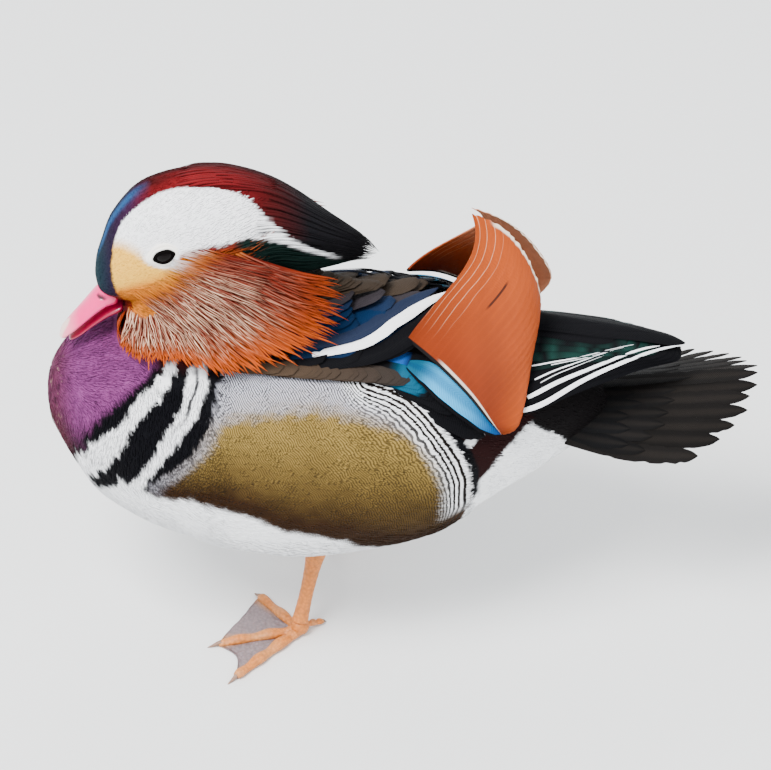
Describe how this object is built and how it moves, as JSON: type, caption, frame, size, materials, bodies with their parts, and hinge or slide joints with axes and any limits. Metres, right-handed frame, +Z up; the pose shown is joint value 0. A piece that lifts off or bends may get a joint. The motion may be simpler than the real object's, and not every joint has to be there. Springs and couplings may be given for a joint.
{
  "type": "mandarin duck",
  "caption": "Life-size drake mandarin duck model standing hunched on webbed feet, with crest, side ruffs, raised sail feathers, folded wings and fanned tail.",
  "frame": {"origin": "on the floor under the middle of the bird's length, on its midline", "axes": "-X the way the bird faces, +X along its length towards the tail, -Y its left side, +Z up"},
  "size_m": [0.3377, 0.145, 0.25],
  "materials": {
    "flank": "fine vermiculated feather: golden, barred black at the rear edge, white belly, purple breast",
    "cheek": "short dense feather: white, yellow and orange face, blue, green and maroon crown",
    "hackle": "long narrow chestnut hackles with pale shafts",
    "crest": "long silky crest feathers, maroon to green black",
    "wing": "smooth folded feathers: olive brown, blue black, blue speculum, white edges",
    "sail": "one broad cinnamon orange web with pale rim",
    "tail": "dark brown tail feathers with a faint green sheen",
    "eye": "wet dark brown, near black",
    "bill": "waxy pink-red with a pale nail",
    "leg": "orange scaled skin",
    "foot": "orange scaled toes with grey webs and dark claws"
  },
  "bodies": {
    "root": {"torso": "flank", "neck": "hackle", "head": "cheek", "crest": "crest", "ruff_left": "hackle", "ruff_right": "hackle", "wing_left": "wing", "wing_right": "wing", "sail_left": "sail", "sail_right": "sail", "tail": "tail", "eye_left": "eye", "eye_right": "eye", "bill_upper": "bill", "bill_lower": "bill", "leg_left": "leg", "leg_right": "leg", "foot_left": "foot", "foot_right": "foot"}
  },
  "joints": []
}
